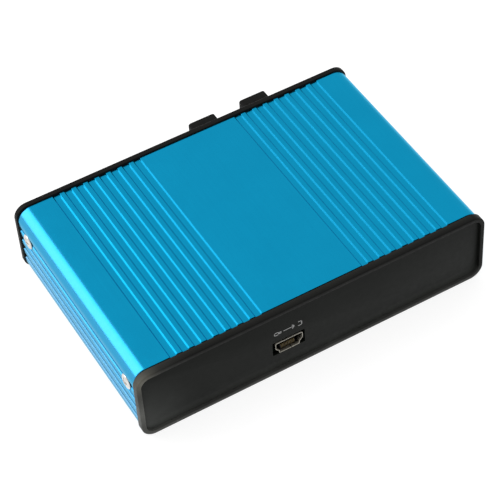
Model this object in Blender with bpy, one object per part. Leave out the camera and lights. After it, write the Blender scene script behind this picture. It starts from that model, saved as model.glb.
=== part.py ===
"""External USB sound box: a grooved aluminium tube closed by two moulded ends, with one circuit board.

+X is right and +Z is up as seen from the front, the side with the USB socket, which faces -Y. The
audio and optical sockets face +Y. The world's origin is on the ground under the middle of the whole
object, dust caps included. Everything hangs from an empty under the middle of the box alone, and
the places below are measured from that empty.
"""

from math import cos, pi, radians, sin

import bmesh
import bpy

MM = 0.001

# Driving dimensions of the box
WIDTH = 100.0 * MM
DEPTH = 67.6 * MM
HEIGHT = 22.3 * MM
CLEARANCE = 0.3 * MM

# End frames: a rim around each end, proud of the tube all round
FRONT_RIM_THICKNESS = 2.15 * MM
REAR_RIM_THICKNESS = 1.7 * MM
RIM_RADIUS = 3.75 * MM
RIM_PROUD = 0.37 * MM
RIM_ROUNDING = 0.3 * MM
RIM_LAND = 1.2 * MM
FRONT_RECESS = 0.75 * MM
REAR_RECESS = 0.3 * MM
PLATE_THICKNESS = 0.8 * MM
WINDOW_INSET = 3.6 * MM
LUG_THICKNESS = 4.0 * MM
LUG_HEIGHT = 6.0 * MM
LUG_REACH = 9.5 * MM
RIB_LENGTH = 60.0 * MM
RIB_REACH = 6.0 * MM
RIB_THICKNESS = 1.1 * MM

# Tube
FRONT_SEAM = 0.45 * MM
TUBE_RADIUS = 3.8 * MM
TUBE_WALL = 1.6 * MM
GROOVE_PITCH = 3.37 * MM
GROOVE_MOUTH = 2.15 * MM
GROOVE_FLOOR = 1.55 * MM
GROOVE_DEPTH = 0.3 * MM
GROOVES_PER_GROUP = 8
GROUP_OFFSET = 27.06 * MM
PATTERN_SHIFT = 0.52 * MM
SIDE_GROOVES = 4
SIDE_PATTERN_DROP = 0.1 * MM
CARD_RIB_DEPTH = 1.8 * MM
CARD_RIB_THICKNESS = 1.1 * MM
CAVITY_RADIUS = 1.2 * MM

# Side screws, one near each end of each side, in the line of the top side groove
FRONT_SCREW_DEPTH = 7.0 * MM
REAR_SCREW_DEPTH = 6.3 * MM
SCREW_BELOW_GROOVE = 1.2 * MM
SCREW_HEAD_RADIUS = 2.3 * MM
SCREW_HEAD_CONE = 1.35 * MM
SCREW_CROWN = 0.45 * MM
SCREW_SHANK_RADIUS = 0.85 * MM
SCREW_LENGTH = 6.2 * MM
CROSS_LENGTH = 2.7 * MM
CROSS_WIDTH = 0.6 * MM
CROSS_DEPTH = 0.9 * MM

# Circuit board
BOARD_TOP = 6.5 * MM
BOARD_THICKNESS = 1.6 * MM
BOARD_WIDTH = 94.8 * MM

# USB socket
USB_X = -7.85 * MM
USB_WIDTH = 7.9 * MM
USB_HEIGHT = 4.0 * MM
USB_FOOT_WIDTH = 6.0 * MM
USB_DEPTH = 8.8 * MM
USB_SHEET = 0.3 * MM
USB_MOUTH = 0.5 * MM
USB_CUTOUT_WIDTH = 9.3 * MM
USB_CUTOUT_HEIGHT = 4.7 * MM
USB_CONTACTS = 5
USB_CONTACT_PITCH = 0.8 * MM

# Audio jacks
JACK_XS = (-38.8 * MM, -29.4 * MM, -20.0 * MM, -10.6 * MM, -1.2 * MM, 37.6 * MM)
JACK_WIDTH = 8.0 * MM
JACK_HEIGHT = 7.6 * MM
JACK_BODY_DEPTH = 12.5 * MM
JACK_BARREL_RADIUS = 3.3 * MM
JACK_BORE_RADIUS = 1.8 * MM
JACK_BORE_DEPTH = 13.0 * MM
JACK_RING_RADIUS = 2.4 * MM
JACK_RING_THICKNESS = 0.9 * MM

# Optical sockets and their dust caps
OPTICAL_XS = (9.65 * MM, 25.65 * MM)
OPTICAL_WIDTH = 9.7 * MM
OPTICAL_HEIGHT = 9.9 * MM
OPTICAL_DEPTH = 13.5 * MM
OPTICAL_AXIS = 5.4 * MM
OPTICAL_MOUTH = 6.2 * MM
OPTICAL_MOUTH_DEPTH = 8.0 * MM
OPTICAL_LENS_RADIUS = 1.2 * MM
OPTICAL_POCKET = 6.6 * MM
OPTICAL_POCKET_DEPTH = 3.5 * MM
CAP_SIZE = 8.0 * MM
CAP_RADIUS = 0.6 * MM
CAP_STEM = 5.6 * MM
CAP_STEM_LENGTH = 7.2 * MM
CAP_BEYOND_RIM = 8.1 * MM
CAP_STANDOFFS = (0.0, 0.35 * MM)

# Parts on the board: (name, x, y, width, depth, height)
BLOCKS = (
    ("audio_controller_chip", 12.0 * MM, -1.0 * MM, 14.0 * MM, 14.0 * MM, 1.4 * MM),
    ("settings_memory_chip", 31.0 * MM, -4.0 * MM, 4.0 * MM, 5.0 * MM, 1.5 * MM),
    ("voltage_regulator", -26.0 * MM, -13.0 * MM, 6.5 * MM, 3.5 * MM, 1.6 * MM),
    ("usb_line_choke", -8.0 * MM, -16.5 * MM, 4.0 * MM, 4.0 * MM, 2.8 * MM),
    ("supply_inductor", -15.5 * MM, -13.0 * MM, 5.0 * MM, 5.0 * MM, 3.0 * MM),
)
CRYSTAL = (14.0 * MM, -17.0 * MM, 10.6 * MM, 4.6 * MM, 3.4 * MM)
OUTPUT_CAPACITORS = tuple(
    (x * MM, y * MM) for y in (13.0, 4.0) for x in (-38.0, -29.0, -20.0, -11.0)
)
CAPACITOR_RADIUS = 3.15 * MM
CAPACITOR_HEIGHT = 7.2 * MM
SUPPLY_CAPACITOR = (-36.0 * MM, -14.0 * MM)
SUPPLY_CAPACITOR_RADIUS = 4.0 * MM

# Derived places
FRONT = -DEPTH / 2
TUBE_FRONT = FRONT + FRONT_RIM_THICKNESS + FRONT_SEAM
TUBE_REAR = -FRONT - REAR_RIM_THICKNESS - CLEARANCE
INNER_HALF_WIDTH = WIDTH / 2 - RIM_PROUD - TUBE_WALL
INNER_BOTTOM = RIM_PROUD + TUBE_WALL
INNER_TOP = HEIGHT - INNER_BOTTOM
SIDE_PATTERN_Z = HEIGHT / 2 - SIDE_PATTERN_DROP
SCREW_Z = SIDE_PATTERN_Z + (SIDE_GROOVES - 1) / 2 * GROOVE_PITCH - SCREW_BELOW_GROOVE
PARTS_Z = BOARD_TOP + CLEARANCE
USB_Z = PARTS_Z + USB_HEIGHT / 2
JACK_Z = PARTS_Z + JACK_HEIGHT / 2
OPTICAL_Z = PARTS_Z + OPTICAL_AXIS


def clear_scene():
    for old in list(bpy.data.objects):
        bpy.data.objects.remove(old, do_unlink=True)


def material(name, colour, roughness, metallic=0.0):
    made = bpy.data.materials.new(name)
    made.use_nodes = True
    shader = made.node_tree.nodes["Principled BSDF"]
    shader.inputs["Base Color"].default_value = (*colour, 1.0)
    shader.inputs["Roughness"].default_value = roughness
    shader.inputs["Metallic"].default_value = metallic
    made.diffuse_color = (*colour, 1.0)
    return made


def finish(name, shape, surface, location=(0, 0, 0), turn=0.0, parent=None):
    """Turns a bmesh or a shared mesh into a placed object. The location is the parent's when it has one."""
    mesh = shape
    if isinstance(shape, bmesh.types.BMesh):
        mesh = bpy.data.meshes.new(name)
        bmesh.ops.recalc_face_normals(shape, faces=shape.faces)
        if shape.calc_volume(signed=True) < 0:
            bmesh.ops.reverse_faces(shape, faces=shape.faces)
        shape.to_mesh(mesh)
        shape.free()
    made = bpy.data.objects.new(name, mesh)
    bpy.context.scene.collection.objects.link(made)
    if surface and not mesh.materials:
        mesh.materials.append(surface)
    made.location = location
    made.rotation_euler.z = turn
    made.parent = parent
    mesh.shade_smooth()
    mesh.set_sharp_from_angle(angle=radians(35))
    return made


def carved(body, cutters=(), added=()):
    """Joins and cuts helper solids, which stand at the body's own origin, and keeps the resulting mesh."""
    tools = [("UNION", extra) for extra in added] + [("DIFFERENCE", cutter) for cutter in cutters]
    bpy.context.view_layer.update()
    helpers = []
    for operation, shape in tools:
        helper = finish("helper", shape, None)
        helper.matrix_world = body.matrix_world
        modifier = body.modifiers.new("carve", "BOOLEAN")
        modifier.operation = operation
        modifier.object = helper
        helpers.append(helper)
    bpy.context.view_layer.update()
    graph = bpy.context.evaluated_depsgraph_get()
    result = bpy.data.meshes.new_from_object(body.evaluated_get(graph))
    body.modifiers.clear()
    old = body.data
    body.data = result
    bpy.data.meshes.remove(old)
    result.name = body.name
    for helper in helpers:
        bpy.data.objects.remove(helper, do_unlink=True)
    return body


def notched_outline(width, height, radius, notches=None, steps=6):
    """Rounded rectangle about (0, 0), counterclockwise, as (across, up) points.

    notches maps a side (0 right, 1 top, 2 left, 3 bottom) to (centre, mouth, floor, depth) tuples.
    Centres are measured along +across or +up from the middle, and each notch goes inward.
    """
    points = []
    for side in range(4):
        angle = side * pi / 2
        outward = (cos(angle), sin(angle))
        along = (-sin(angle), cos(angle))
        reach, half = (width / 2, height / 2) if side % 2 == 0 else (height / 2, width / 2)
        sense = 1 if side in (0, 3) else -1
        placed = sorted((notches or {}).get(side, ()), key=lambda notch: sense * notch[0])
        run = []
        for centre, mouth, floor, depth in placed:
            middle = sense * centre
            run += [(middle - mouth / 2, 0), (middle - floor / 2, depth)]
            run += [(middle + floor / 2, depth), (middle + mouth / 2, 0)]
        for distance, depth in run:
            out = reach - depth
            points.append(
                (out * outward[0] + distance * along[0], out * outward[1] + distance * along[1])
            )
        for step in range(steps + 1):
            bend = angle + step / steps * pi / 2
            centre = [
                (reach - radius) * outward[k] + (half - radius) * along[k] for k in range(2)
            ]
            points.append((centre[0] + radius * cos(bend), centre[1] + radius * sin(bend)))
    return points


def loft(rings):
    """Closed solid along Y through (outline, y) rings with equal numbers of (x, z) points."""
    shape = bmesh.new()
    loops = [[shape.verts.new((x, y, z)) for x, z in outline] for outline, y in rings]
    for first, second in zip(loops, loops[1:]):
        for here in range(len(first)):
            after = (here + 1) % len(first)
            shape.faces.new((first[here], first[after], second[after], second[here]))
    shape.faces.new(loops[0])
    shape.faces.new(reversed(loops[-1]))
    return shape


def shifted(outline, across, up):
    return [(x + across, z + up) for x, z in outline]


def prism(outline, front, back):
    return loft([(outline, front), (outline, back)])


def box(x0, x1, y0, y1, z0, z1):
    return prism([(x0, z0), (x1, z0), (x1, z1), (x0, z1)], y0, y1)


def turned(profile, steps, axis):
    """Closed solid of revolution from (distance along the axis, radius) points, about X, Y or Z."""
    shape = bmesh.new()
    order = {"X": (0, 1, 2), "Y": (2, 0, 1), "Z": (1, 2, 0)}[axis]
    rings = []
    for along, radius in profile:
        ring = []
        for step in range(steps if radius else 1):
            angle = 2 * pi * step / steps
            local = (along, radius * cos(angle), radius * sin(angle))
            ring.append(shape.verts.new([local[k] for k in order]))
        rings.append(ring)
    for first, second in zip(rings, rings[1:]):
        for step in range(steps):
            corners = [first[step % len(first)], first[(step + 1) % len(first)]]
            corners += [second[(step + 1) % len(second)], second[step % len(second)]]
            shape.faces.new(list(dict.fromkeys(corners)))
    return shape


def moved(shape, offset):
    bmesh.ops.translate(shape, verts=shape.verts, vec=offset)
    return shape


def spaced(count, pitch, middle=0.0):
    return [middle + (k - (count - 1) / 2) * pitch for k in range(count)]


def groove_notches():
    """Two groups of grooves on the top and bottom, and one group on each side."""
    wide = []
    for hand in (-1, 1):
        middle = PATTERN_SHIFT + hand * GROUP_OFFSET
        wide += spaced(GROOVES_PER_GROUP, GROOVE_PITCH, middle)
    side = spaced(SIDE_GROOVES, GROOVE_PITCH, SIDE_PATTERN_Z - HEIGHT / 2)
    shape = (GROOVE_MOUTH, GROOVE_FLOOR, GROOVE_DEPTH)
    wide = [(centre, *shape) for centre in wide]
    side = [(centre, *shape) for centre in side]
    return {0: side, 1: wide, 2: side, 3: wide}


def card_rib_notches():
    """A rib under and a rib over the board's edge, on each side wall, as notches in the cavity."""
    under = BOARD_TOP - BOARD_THICKNESS - CLEARANCE - CARD_RIB_THICKNESS / 2 - HEIGHT / 2
    over = BOARD_TOP + CLEARANCE + CARD_RIB_THICKNESS / 2 - HEIGHT / 2
    ribs = [(z, CARD_RIB_THICKNESS, CARD_RIB_THICKNESS, CARD_RIB_DEPTH) for z in (under, over)]
    return {0: ribs, 2: ribs}


def countersink(hand):
    """Screw hole through a side wall: a cone from the outer face, then a plain hole."""
    face = WIDTH / 2 - RIM_PROUD
    profile = [
        (face - 2 * TUBE_WALL, 0),
        (face - 2 * TUBE_WALL, SCREW_SHANK_RADIUS + CLEARANCE),
        (face - SCREW_HEAD_CONE, SCREW_SHANK_RADIUS + CLEARANCE),
        (face, SCREW_HEAD_RADIUS + CLEARANCE),
        (face + TUBE_WALL, SCREW_HEAD_RADIUS + CLEARANCE),
        (face + TUBE_WALL, 0),
    ]
    return turned([(hand * along, radius) for along, radius in profile], 24, "X")


def make_base():
    """Empty on the ground under the middle of the box, which the whole object hangs from."""
    base = bpy.data.objects.new("box_middle", None)
    bpy.context.scene.collection.objects.link(base)
    base.location.y = -(CAP_BEYOND_RIM + max(CAP_STANDOFFS)) / 2
    return base


def make_tube(surface, base):
    outer = notched_outline(
        WIDTH - 2 * RIM_PROUD,
        HEIGHT - 2 * RIM_PROUD,
        TUBE_RADIUS,
        groove_notches(),
    )
    inner = notched_outline(
        2 * INNER_HALF_WIDTH, INNER_TOP - INNER_BOTTOM, CAVITY_RADIUS, card_rib_notches(), steps=3
    )
    body = prism(outer, TUBE_FRONT, TUBE_REAR)
    tube = finish("housing_tube", body, surface, (0, 0, HEIGHT / 2), 0.0, base)
    cutters = [prism(inner, -DEPTH, DEPTH)]
    for hand in (-1, 1):
        for y in (FRONT + FRONT_SCREW_DEPTH, -FRONT - REAR_SCREW_DEPTH):
            cutters.append(moved(countersink(hand), (0, y, SCREW_Z - HEIGHT / 2)))
    return carved(tube, cutters)


def make_frame(name, surface, turn, thickness, recess, screw_depth, base):
    """Moulded end: a rounded rim with a pocket for the plate, two screw lugs and two locating ribs.

    The frame's own origin is in the middle of its outer face, and +Y goes into the box.
    """
    pocket = recess + PLATE_THICKNESS + CLEARANCE

    def rim(inset):
        return notched_outline(WIDTH - 2 * inset, HEIGHT - 2 * inset, RIM_RADIUS - inset)

    soft = RIM_ROUNDING * (1 - cos(pi / 4))
    body = loft(
        [
            (rim(RIM_ROUNDING), 0),
            (rim(soft), soft),
            (rim(0), RIM_ROUNDING),
            (rim(0), thickness),
        ]
    )
    place = (0, FRONT if turn == 0 else -FRONT, HEIGHT / 2)
    frame = finish(name, body, surface, place, turn, base)
    lug_outer = INNER_HALF_WIDTH - CLEARANCE
    lug_z = SCREW_Z - HEIGHT / 2
    rib_reach = INNER_TOP - HEIGHT / 2 - CLEARANCE
    cutters = [
        prism(rim(RIM_LAND), -thickness, pocket),
        prism(
            notched_outline(WIDTH - 2 * WINDOW_INSET, HEIGHT - 2 * WINDOW_INSET, 1.2 * MM),
            -thickness,
            2 * thickness,
        ),
    ]
    added = []
    for hand in (-1, 1):
        across = sorted((hand * lug_outer, hand * (lug_outer - LUG_THICKNESS)))
        up = (lug_z - LUG_HEIGHT / 2, lug_z + LUG_HEIGHT / 2)
        added.append(box(*across, pocket, LUG_REACH, *up))
        rib = sorted((hand * rib_reach, hand * (rib_reach - RIB_THICKNESS)))
        root = thickness - 0.15 * MM
        added.append(box(-RIB_LENGTH / 2, RIB_LENGTH / 2, root, RIB_REACH, *rib))
    carved(frame, cutters)
    carved(frame, added=added)
    hole = turned(
        [(-WIDTH, 0), (-WIDTH, SCREW_SHANK_RADIUS + CLEARANCE)]
        + [(WIDTH, SCREW_SHANK_RADIUS + CLEARANCE), (WIDTH, 0)],
        20,
        "X",
    )
    return carved(frame, [moved(hole, (0, screw_depth, lug_z))])


def make_plate(name, surface, y, holes, base):
    """Flat plate for a frame's pocket, with its middle at y and the given hole cutters."""
    inset = RIM_LAND + CLEARANCE
    outline = notched_outline(WIDTH - 2 * inset, HEIGHT - 2 * inset, RIM_RADIUS - inset)
    half = PLATE_THICKNESS / 2
    plate = finish(name, prism(outline, -half, half), surface, (0, y, HEIGHT / 2), 0.0, base)
    return carved(plate, holes)


def front_holes():
    outline = notched_outline(USB_CUTOUT_WIDTH, USB_CUTOUT_HEIGHT, 0.3 * MM, steps=2)
    return [prism(shifted(outline, USB_X, USB_Z - HEIGHT / 2), -2 * MM, 2 * MM)]


def rear_holes():
    holes = []
    radius = JACK_BARREL_RADIUS + CLEARANCE
    for x in JACK_XS:
        hole = turned([(-2 * MM, 0), (-2 * MM, radius), (2 * MM, radius), (2 * MM, 0)], 24, "Y")
        holes.append(moved(hole, (x, 0, JACK_Z - HEIGHT / 2)))
    low = PARTS_Z - CLEARANCE - HEIGHT / 2
    high = PARTS_Z + OPTICAL_HEIGHT + CLEARANCE - HEIGHT / 2
    for x in OPTICAL_XS:
        half = OPTICAL_WIDTH / 2 + CLEARANCE
        holes.append(box(x - half, x + half, -2 * MM, 2 * MM, low, high))
    return holes


def make_screws(surface, tube):
    """Raised countersunk self-tapping screws. Their mesh points along +X, head outermost."""
    profile = [
        (-SCREW_LENGTH, 0),
        (-SCREW_LENGTH + 1.2 * MM, SCREW_SHANK_RADIUS),
        (-SCREW_HEAD_CONE, SCREW_SHANK_RADIUS),
        (-0.15 * MM, SCREW_HEAD_RADIUS),
        (0, SCREW_HEAD_RADIUS),
        (0.55 * SCREW_CROWN, 0.78 * SCREW_HEAD_RADIUS),
        (0.9 * SCREW_CROWN, 0.42 * SCREW_HEAD_RADIUS),
        (SCREW_CROWN, 0),
    ]
    pattern = finish("screw_pattern", turned(profile, 20, "X"), surface)
    bottom = SCREW_CROWN - CROSS_DEPTH
    arms = []
    for across, up in ((CROSS_LENGTH, CROSS_WIDTH), (CROSS_WIDTH, CROSS_LENGTH)):
        arms.append(box(bottom, 2 * MM, -across / 2, across / 2, -up / 2, up / 2))
    carved(pattern, arms)
    for end, y in (("front", FRONT + FRONT_SCREW_DEPTH), ("rear", -FRONT - REAR_SCREW_DEPTH)):
        for side, hand in (("left", -1), ("right", 1)):
            place = (hand * (WIDTH / 2 - RIM_PROUD), y, SCREW_Z - HEIGHT / 2)
            turn = 0.0 if hand > 0 else pi
            finish(f"side_screw_{end}_{side}", pattern.data, surface, place, turn, tube)
    bpy.data.objects.remove(pattern, do_unlink=True)


def usb_outline(inset=0.0):
    """Mouth of the socket: wide above, stepped in below, about its own middle."""
    half = USB_WIDTH / 2 - inset
    foot = USB_FOOT_WIDTH / 2 - inset
    top = USB_HEIGHT / 2 - inset
    ease = 0.45 * MM
    right = [(foot - ease / 2, -top), (foot, -top + ease / 2), (foot, -top + 1.0 * MM - inset)]
    right += [(half, -0.1 * MM - inset / 2), (half, top - ease), (half - ease, top)]
    return right + [(-x, z) for x, z in reversed(right)]


def make_usb_socket(board, steel, moulding, gold):
    mouth = FRONT + USB_MOUTH
    rise = CLEARANCE + USB_HEIGHT / 2
    shell = finish(
        "usb_socket_shell",
        prism(usb_outline(), 0, USB_DEPTH),
        steel,
        (USB_X, mouth, rise),
        0.0,
        board,
    )
    carved(shell, [prism(usb_outline(USB_SHEET), -MM, USB_DEPTH + MM)])
    floor = -USB_HEIGHT / 2 + USB_SHEET + CLEARANCE
    core = prism(usb_outline(USB_SHEET + CLEARANCE), 5.2 * MM, USB_DEPTH - 0.4 * MM)
    insulator = finish(
        "usb_socket_insulator", core, moulding, (USB_X, mouth, rise), 0.0, board
    )
    tongue = box(-2.1 * MM, 2.1 * MM, 1.0 * MM, 5.6 * MM, floor, floor + 0.7 * MM)
    carved(insulator, added=[tongue])
    for number, x in enumerate(spaced(USB_CONTACTS, USB_CONTACT_PITCH), 1):
        low = floor + 0.7 * MM + CLEARANCE
        bar = box(-0.2 * MM, 0.2 * MM, 1.2 * MM, 4.8 * MM, low, low + 0.25 * MM)
        finish(f"usb_contact_{number}", bar, gold, (USB_X + x, mouth, rise), 0.0, board)


def make_jacks(board, moulding, steel):
    """Six 3.5 mm jacks. A jack's own origin is in the middle of its mouth, and the body is at -Y."""
    barrel_length = REAR_RECESS + PLATE_THICKNESS + CLEARANCE
    back = -barrel_length - JACK_BODY_DEPTH
    half = JACK_WIDTH / 2
    rise = JACK_Z - BOARD_TOP
    pattern = finish(
        "jack_pattern",
        box(-half, half, back, -barrel_length, -JACK_HEIGHT / 2, JACK_HEIGHT / 2),
        moulding,
    )
    barrel = [(-barrel_length - MM, 0), (-barrel_length - MM, JACK_BARREL_RADIUS)]
    barrel += [(-0.3 * MM, JACK_BARREL_RADIUS), (0, JACK_BARREL_RADIUS - 0.3 * MM), (0, 0)]
    carved(pattern, added=[turned(barrel, 24, "Y")])
    seat = JACK_RING_THICKNESS + 0.2 * MM
    bore = [(-JACK_BORE_DEPTH, 0), (-JACK_BORE_DEPTH, JACK_BORE_RADIUS), (-seat, JACK_BORE_RADIUS)]
    bore += [(-seat, JACK_RING_RADIUS + CLEARANCE), (MM, JACK_RING_RADIUS + CLEARANCE), (MM, 0)]
    carved(pattern, [turned(bore, 20, "Y")])
    ring_back = 0.1 * MM - JACK_RING_THICKNESS
    ring_profile = [(ring_back, 0), (ring_back, JACK_RING_RADIUS), (0, JACK_RING_RADIUS), (0, 0)]
    ring = finish("ring_pattern", turned(ring_profile, 20, "Y"), steel)
    hole = [(-2 * MM, 0), (-2 * MM, JACK_BORE_RADIUS), (2 * MM, JACK_BORE_RADIUS), (2 * MM, 0)]
    carved(ring, [turned(hole, 20, "Y")])
    for number, x in enumerate(JACK_XS, 1):
        place = (x, -FRONT, rise)
        finish(f"audio_jack_{number}", pattern.data, moulding, place, 0.0, board)
        finish(f"audio_jack_ring_{number}", ring.data, steel, place, 0.0, board)
    for helper in (pattern, ring):
        bpy.data.objects.remove(helper, do_unlink=True)


def make_optical_sockets(board, moulding, clear):
    """Square-mouthed sockets for optical plugs, with a light module behind each lens hole."""
    half = OPTICAL_WIDTH / 2
    low = -OPTICAL_AXIS
    body = box(-half, half, -OPTICAL_DEPTH, 0, low, low + OPTICAL_HEIGHT)
    pattern = finish("optical_pattern", body, moulding)
    mouth = notched_outline(OPTICAL_MOUTH, OPTICAL_MOUTH, 0.7 * MM, steps=2)
    pocket = OPTICAL_POCKET / 2
    pocket_front = OPTICAL_POCKET_DEPTH - OPTICAL_DEPTH
    lens = [(-OPTICAL_DEPTH, 0), (-OPTICAL_DEPTH, OPTICAL_LENS_RADIUS)]
    lens += [(-MM, OPTICAL_LENS_RADIUS), (-MM, 0)]
    carved(
        pattern,
        [
            prism(mouth, -OPTICAL_MOUTH_DEPTH, MM),
            box(-pocket, pocket, -OPTICAL_DEPTH - MM, pocket_front, -pocket, pocket),
            turned(lens, 16, "Y"),
        ],
    )
    chip = pocket - CLEARANCE
    for name, module, x in zip(
        ("optical_input_socket", "optical_output_socket"),
        ("optical_receiver_module", "optical_transmitter_module"),
        OPTICAL_XS,
    ):
        place = (x, -FRONT - REAR_RECESS, OPTICAL_Z - BOARD_TOP)
        finish(name, pattern.data, moulding, place, 0.0, board)
        block = box(
            -chip, chip, 0.2 * MM - OPTICAL_DEPTH, pocket_front - CLEARANCE, -chip, chip
        )
        finish(module, block, clear, place, 0.0, board)
    bpy.data.objects.remove(pattern, do_unlink=True)


def make_dust_caps(rubber, base):
    """Square rubber caps. Their own origin is where the stem meets the handle, on the socket's axis."""
    def square(size, radius):
        return notched_outline(size, size, radius, steps=3)

    seat = -FRONT - REAR_RECESS + CLEARANCE
    reach = -FRONT + CAP_BEYOND_RIM - seat
    rings = [
        (square(CAP_STEM - 0.8 * MM, 0.5 * MM), -CAP_STEM_LENGTH),
        (square(CAP_STEM, 0.7 * MM), -CAP_STEM_LENGTH + 0.6 * MM),
        (square(CAP_STEM, 0.7 * MM), 0),
        (square(CAP_SIZE, CAP_RADIUS), 0),
        (square(CAP_SIZE, CAP_RADIUS), reach - 0.45 * MM),
        (square(CAP_SIZE - 0.22 * MM, CAP_RADIUS), reach - 0.15 * MM),
        (square(CAP_SIZE - 0.9 * MM, CAP_RADIUS), reach),
    ]
    names = ("dust_cap_input", "dust_cap_output")
    for name, x, standoff in zip(names, OPTICAL_XS, CAP_STANDOFFS):
        finish(name, loft(rings), rubber, (x, seat + standoff, OPTICAL_Z), 0.0, base)


def make_board_parts(board, moulding, steel, sleeve):
    for name, x, y, width, depth, height in BLOCKS:
        block = box(-width / 2, width / 2, -depth / 2, depth / 2, 0, height)
        finish(name, block, moulding, (x, y, CLEARANCE), 0.0, board)
    x, y, width, depth, height = CRYSTAL
    can = bmesh.new()
    outline = notched_outline(width, depth, depth / 2 - 0.05 * MM, steps=6)
    loops = [[can.verts.new((a, b, z)) for a, b in outline] for z in (0, height)]
    for here in range(len(outline)):
        after = (here + 1) % len(outline)
        can.faces.new((loops[0][here], loops[0][after], loops[1][after], loops[1][here]))
    can.faces.new(reversed(loops[0]))
    can.faces.new(loops[1])
    finish("clock_crystal", can, steel, (x, y, CLEARANCE), 0.0, board)
    places = [
        (f"output_capacitor_{number}", *place, CAPACITOR_RADIUS)
        for number, place in enumerate(OUTPUT_CAPACITORS, 1)
    ]
    places.append(("supply_capacitor", *SUPPLY_CAPACITOR, SUPPLY_CAPACITOR_RADIUS))
    for name, x, y, radius in places:
        profile = [(0, 0), (0, radius), (CAPACITOR_HEIGHT - 0.3 * MM, radius)]
        profile += [(CAPACITOR_HEIGHT, radius - 0.3 * MM), (CAPACITOR_HEIGHT, 0)]
        finish(name, turned(profile, 18, "Z"), sleeve, (x, y, CLEARANCE), 0.0, board)


def main():
    clear_scene()
    blue = material("blue_anodised_aluminium", (0.006, 0.27, 0.50), 0.38, 1.0)
    black = material("black_moulded_plastic", (0.02, 0.02, 0.019), 0.45)
    plate = material("black_printed_plate", (0.016, 0.016, 0.015), 0.4)
    rubber = material("black_rubber", (0.012, 0.012, 0.012), 0.7)
    steel = material("bright_steel", (0.72, 0.71, 0.68), 0.3, 1.0)
    gold = material("gold_plated_contact", (0.75, 0.55, 0.2), 0.3, 1.0)
    laminate = material("green_board_laminate", (0.02, 0.16, 0.06), 0.5)
    sleeve = material("dark_capacitor_sleeve", (0.03, 0.03, 0.05), 0.4)
    clear = material("clear_epoxy", (0.25, 0.05, 0.05), 0.2)

    base = make_base()
    tube = make_tube(blue, base)
    front = (FRONT_RIM_THICKNESS, FRONT_RECESS, FRONT_SCREW_DEPTH)
    make_frame("front_end_frame", black, 0.0, *front, base)
    rear = (REAR_RIM_THICKNESS, REAR_RECESS, REAR_SCREW_DEPTH)
    make_frame("rear_end_frame", black, pi, *rear, base)
    half = PLATE_THICKNESS / 2
    front_middle = FRONT + FRONT_RECESS + half
    rear_middle = -FRONT - REAR_RECESS - half
    make_plate("front_panel_plate", plate, front_middle, front_holes(), base)
    make_plate("rear_panel_plate", plate, rear_middle, rear_holes(), base)
    make_screws(steel, tube)

    half_width = BOARD_WIDTH / 2
    slab = box(-half_width, half_width, TUBE_FRONT, TUBE_REAR, -BOARD_THICKNESS, 0)
    board = finish("circuit_board", slab, laminate, (0, 0, BOARD_TOP), 0.0, base)
    make_usb_socket(board, steel, black, gold)
    make_jacks(board, black, steel)
    make_optical_sockets(board, black, clear)
    make_dust_caps(rubber, base)
    make_board_parts(board, black, steel, sleeve)
    bpy.context.view_layer.update()


main()
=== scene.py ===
"""External USB sound box: finer shapes, materials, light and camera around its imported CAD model.

Everything is in metres in the row frame: +X right, +Z up, and the front with the USB socket faces -Y.
"""

from math import atan2, cos, pi, radians, sin, tan

import bmesh
import bpy
from mathutils import Matrix, Vector


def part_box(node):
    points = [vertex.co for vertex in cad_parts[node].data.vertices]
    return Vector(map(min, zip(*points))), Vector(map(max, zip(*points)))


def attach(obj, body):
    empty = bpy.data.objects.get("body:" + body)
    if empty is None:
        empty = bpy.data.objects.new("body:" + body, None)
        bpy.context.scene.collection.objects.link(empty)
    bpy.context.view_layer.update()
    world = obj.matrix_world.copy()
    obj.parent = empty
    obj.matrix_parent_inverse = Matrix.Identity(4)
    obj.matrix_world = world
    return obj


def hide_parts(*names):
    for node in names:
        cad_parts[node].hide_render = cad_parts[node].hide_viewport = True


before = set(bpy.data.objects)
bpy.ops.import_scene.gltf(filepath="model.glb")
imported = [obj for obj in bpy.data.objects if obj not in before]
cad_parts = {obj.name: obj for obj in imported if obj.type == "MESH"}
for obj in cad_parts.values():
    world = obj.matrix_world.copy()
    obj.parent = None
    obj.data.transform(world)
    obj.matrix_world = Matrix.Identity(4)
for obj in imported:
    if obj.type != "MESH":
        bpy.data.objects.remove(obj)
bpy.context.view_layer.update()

MM = 0.001
BOX = "box"
FRONT_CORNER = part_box("front_end_frame")[0]

# Where the front moulding and its plate get painted reflections and a painted highlight: corners and
# the left end
LOWER_LEFT = (FRONT_CORNER.x, FRONT_CORNER.y, FRONT_CORNER.z + 3 * MM)
LEFT_END = (FRONT_CORNER.x, FRONT_CORNER.y, FRONT_CORNER.z + 9 * MM)
UPPER_LEFT = (FRONT_CORNER.x + 1.5 * MM, FRONT_CORNER.y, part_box("front_end_frame")[1].z - 1.5 * MM)
USB_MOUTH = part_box("usb_socket_shell")[0].y
BOARD_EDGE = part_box("circuit_board")[0].y

# ------------------------------------------------------------
# Shapes
# ------------------------------------------------------------


def filleted(corners, closed=True):
    """Outline through (across, up, radius, steps) corners, with an arc at each.

    The two ends of an open outline stay sharp.
    """
    points = []
    count = len(corners)
    for number, (across, up, radius, steps) in enumerate(corners):
        corner = Vector((across, up))
        if radius <= 0 or (not closed and number in (0, count - 1)):
            points.append(corner)
            continue
        before = (Vector(corners[number - 1][:2]) - corner).normalized()
        after = (Vector(corners[(number + 1) % count][:2]) - corner).normalized()
        half = before.angle(after) / 2
        centre = corner + (before + after).normalized() * (radius / sin(half))
        start = corner + before * (radius / tan(half)) - centre
        end = corner + after * (radius / tan(half)) - centre
        first = atan2(start.y, start.x)
        turn = (atan2(end.y, end.x) - first + pi) % (2 * pi) - pi
        for step in range(steps + 1):
            angle = first + turn * step / steps
            points.append(centre + Vector((cos(angle), sin(angle))) * radius)
    return points


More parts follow.
